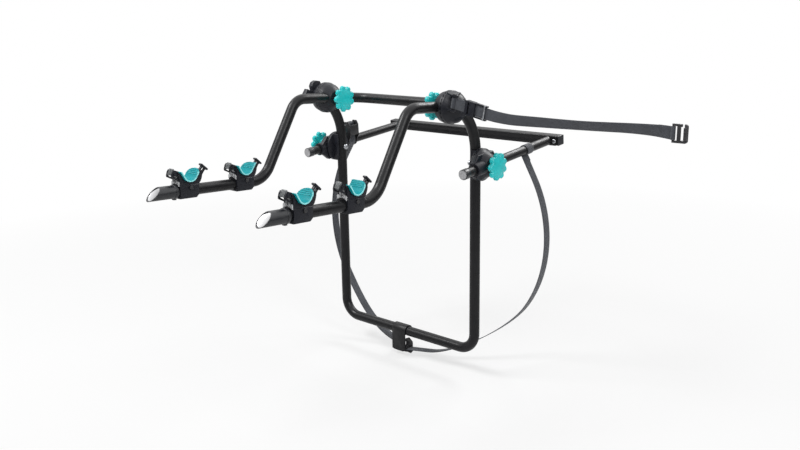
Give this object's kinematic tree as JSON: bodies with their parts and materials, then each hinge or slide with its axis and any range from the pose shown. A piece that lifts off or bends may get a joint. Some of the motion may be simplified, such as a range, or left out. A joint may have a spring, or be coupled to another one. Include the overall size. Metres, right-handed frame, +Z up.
{
  "type": "spare wheel bike rack",
  "caption": "Bicycle carrier for a vehicle's rear spare wheel: a tube hoop with folding cranked arms, lined cradles, a rear hook frame and webbing straps.",
  "frame": {"origin": "wheel seat: the point on the spare wheel's axis in the plane that the back of the hoop touches", "axes": "+Z up, +Y to the rear, towards the vehicle, +X to the right seen from behind the vehicle, so the arms point to -Y"},
  "size_m": [1.0781, 0.9133, 0.713],
  "materials": {
    "frame_steel": "satin black powder coat",
    "hook_steel": "satin black paint",
    "joint_plastic": "moulded, slightly blue black",
    "cap_plastic": "semi-gloss black with a pale end face",
    "knob_plastic": "satin turquoise",
    "fastener_steel": "zinc plated",
    "cradle_plastic": "moulded black",
    "liner_rubber": "soft turquoise with a paler lip",
    "strap_rubber": "milky grey, slightly translucent",
    "webbing": "woven polyester webbing",
    "buckle_plastic": "moulded black",
    "buckle_steel": "black pressed steel"
  },
  "bodies": {
    "frame": {"wheel_hoop": "frame_steel", "hub_socket_right": "joint_plastic", "hub_socket_left": "joint_plastic", "upright_saddle_right": "joint_plastic", "upright_saddle_left": "joint_plastic", "upper_bolts": "fastener_steel", "lower_bolts": "fastener_steel", "bottom_hook": "hook_steel", "bottom_hook_rivet": "fastener_steel", "tyre_strap": "webbing", "security_strap": "webbing", "security_buckle": "buckle_plastic", "security_bar": "fastener_steel", "security_hook_plate": "buckle_plastic", "strap_anchor_pin": "fastener_steel"},
    "arms": {"arm_frame": "frame_steel", "hub_saddle_right": "joint_plastic", "hub_saddle_left": "joint_plastic", "arm_cap_right": "cap_plastic", "arm_cap_left": "cap_plastic", "cradle_screws": "fastener_steel", "strap_pins": "cradle_plastic", "cradle_right_front": "cradle_plastic", "cradle_right_rear": "cradle_plastic", "cradle_left_front": "cradle_plastic", "cradle_left_rear": "cradle_plastic", "cradle_liner_right_front": "liner_rubber", "cradle_liner_right_rear": "liner_rubber", "cradle_liner_left_front": "liner_rubber", "cradle_liner_left_rear": "liner_rubber"},
    "hook_frame": {"side_bar_right": "frame_steel", "side_bar_left": "frame_steel", "rear_crossbar": "frame_steel", "side_bar_caps": "cap_plastic", "crossbar_caps": "cap_plastic", "bar_tabs": "frame_steel", "tab_bolts": "fastener_steel", "bar_housing_right": "joint_plastic", "bar_housing_left": "joint_plastic", "tyre_buckle": "buckle_steel", "tyre_buckle_drum": "fastener_steel"},
    "buckle_lever": {"tyre_buckle_lever": "buckle_steel"},
    "upper_knob_right": {"upper_knob_right": "knob_plastic", "upper_knob_nut_right": "fastener_steel"},
    "upper_knob_left": {"upper_knob_left": "knob_plastic", "upper_knob_nut_left": "fastener_steel"},
    "lower_knob_right": {"lower_knob_right": "knob_plastic", "lower_knob_nut_right": "fastener_steel"},
    "lower_knob_left": {"lower_knob_left": "knob_plastic", "lower_knob_nut_left": "fastener_steel"},
    "strap_right_front": {"retaining_strap_right_front": "strap_rubber"},
    "strap_right_rear": {"retaining_strap_right_rear": "strap_rubber"},
    "strap_left_front": {"retaining_strap_left_front": "strap_rubber"},
    "strap_left_rear": {"retaining_strap_left_rear": "strap_rubber"}
  },
  "joints": [
    {"name": "arm_fold", "type": "hinge", "parent": "frame", "child": "arms", "pos_m": [0, -0.0805, 0.344], "axis": [1, 0, 0], "range_deg": [-15, 60]},
    {"name": "hook_tilt", "type": "hinge", "parent": "frame", "child": "hook_frame", "pos_m": [0, -0.0125, 0.208], "axis": [1, 0, 0], "range_deg": [-15, 35], "deforming": ["tyre_strap"]},
    {"name": "upper_knob_right_turn", "type": "hinge", "parent": "arms", "child": "upper_knob_right", "pos_m": [0.155, -0.0805, 0.344], "axis": [1, 0, 0], "continuous": true},
    {"name": "upper_knob_left_turn", "type": "hinge", "parent": "arms", "child": "upper_knob_left", "pos_m": [-0.155, -0.0805, 0.344], "axis": [1, 0, 0], "continuous": true},
    {"name": "lower_knob_right_turn", "type": "hinge", "parent": "hook_frame", "child": "lower_knob_right", "pos_m": [0.28, -0.0125, 0.208], "axis": [1, 0, 0], "continuous": true},
    {"name": "lower_knob_left_turn", "type": "hinge", "parent": "hook_frame", "child": "lower_knob_left", "pos_m": [-0.28, -0.0125, 0.208], "axis": [1, 0, 0], "continuous": true},
    {"name": "strap_right_front_swing", "type": "hinge", "parent": "arms", "child": "strap_right_front", "pos_m": [0.181, -0.56118, 0.22447], "axis": [-1, 0, 0], "range_deg": [0, 68]},
    {"name": "strap_right_rear_swing", "type": "hinge", "parent": "arms", "child": "strap_right_rear", "pos_m": [0.181, -0.41742, 0.21618], "axis": [-1, 0, 0], "range_deg": [0, 68]},
    {"name": "strap_left_front_swing", "type": "hinge", "parent": "arms", "child": "strap_left_front", "pos_m": [-0.181, -0.56517, 0.2247], "axis": [-1, 0, 0], "range_deg": [0, 68]},
    {"name": "strap_left_rear_swing", "type": "hinge", "parent": "arms", "child": "strap_left_rear", "pos_m": [-0.181, -0.41242, 0.21589], "axis": [-1, 0, 0], "range_deg": [0, 68]},
    {"name": "buckle_lever_open", "type": "hinge", "parent": "hook_frame", "child": "buckle_lever", "pos_m": [-0.247, 0.04499, 0.25864], "axis": [0, 0.9956, 0.0941], "range_deg": [0, 90]}
  ]
}
